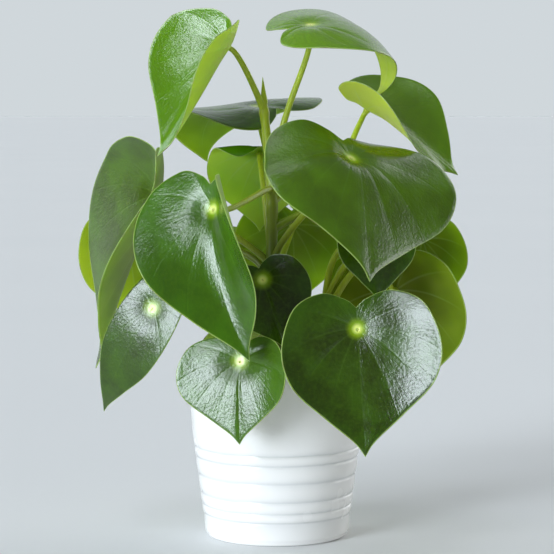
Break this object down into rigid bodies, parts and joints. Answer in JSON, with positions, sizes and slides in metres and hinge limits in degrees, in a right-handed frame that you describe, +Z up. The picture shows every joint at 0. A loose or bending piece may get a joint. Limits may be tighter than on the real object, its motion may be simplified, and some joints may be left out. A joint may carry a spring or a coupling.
{
  "type": "potted peperomia plant",
  "caption": "Bushy peperomia with thick glossy heart-shaped leaves on long petioles, growing in a ribbed white ceramic pot. Decorative house plant that stands on a flat surface.",
  "frame": {"origin": "middle of the pot's flat foot, on the surface that the pot stands on", "axes": "+Z up, -Y the front that faces the viewer, +X to the viewer's right"},
  "size_m": [0.2486, 0.237, 0.3268],
  "materials": {
    "glaze": "glossy white glaze",
    "soil": "rough crumbly potting soil",
    "stem": "smooth fleshy green stem",
    "leaf": "waxy glossy green leaf"
  },
  "bodies": {
    "root": {"pot": "glaze", "soil": "soil", "stem_main": "stem", "stem_right": "stem", "leaf_upper_left": "leaf", "leaf_top": "leaf", "leaf_front_right": "leaf", "leaf_upper_right": "leaf", "leaf_back_high": "leaf", "leaf_back_centre": "leaf", "leaf_left": "leaf", "leaf_left_back": "leaf", "leaf_low_left": "leaf", "leaf_front_left": "leaf", "leaf_low_right": "leaf", "leaf_right_back": "leaf", "leaf_right_high": "leaf", "leaf_inner_right": "leaf", "leaf_back_low_right": "leaf", "leaf_inner_front": "leaf", "leaf_low_front": "leaf", "leaf_back_middle": "leaf", "leaf_behind_right": "leaf", "leaf_behind_left": "leaf", "leaf_behind_low": "leaf", "leaf_behind_low_right": "leaf", "leaf_behind_low_left": "leaf"}
  },
  "joints": []
}
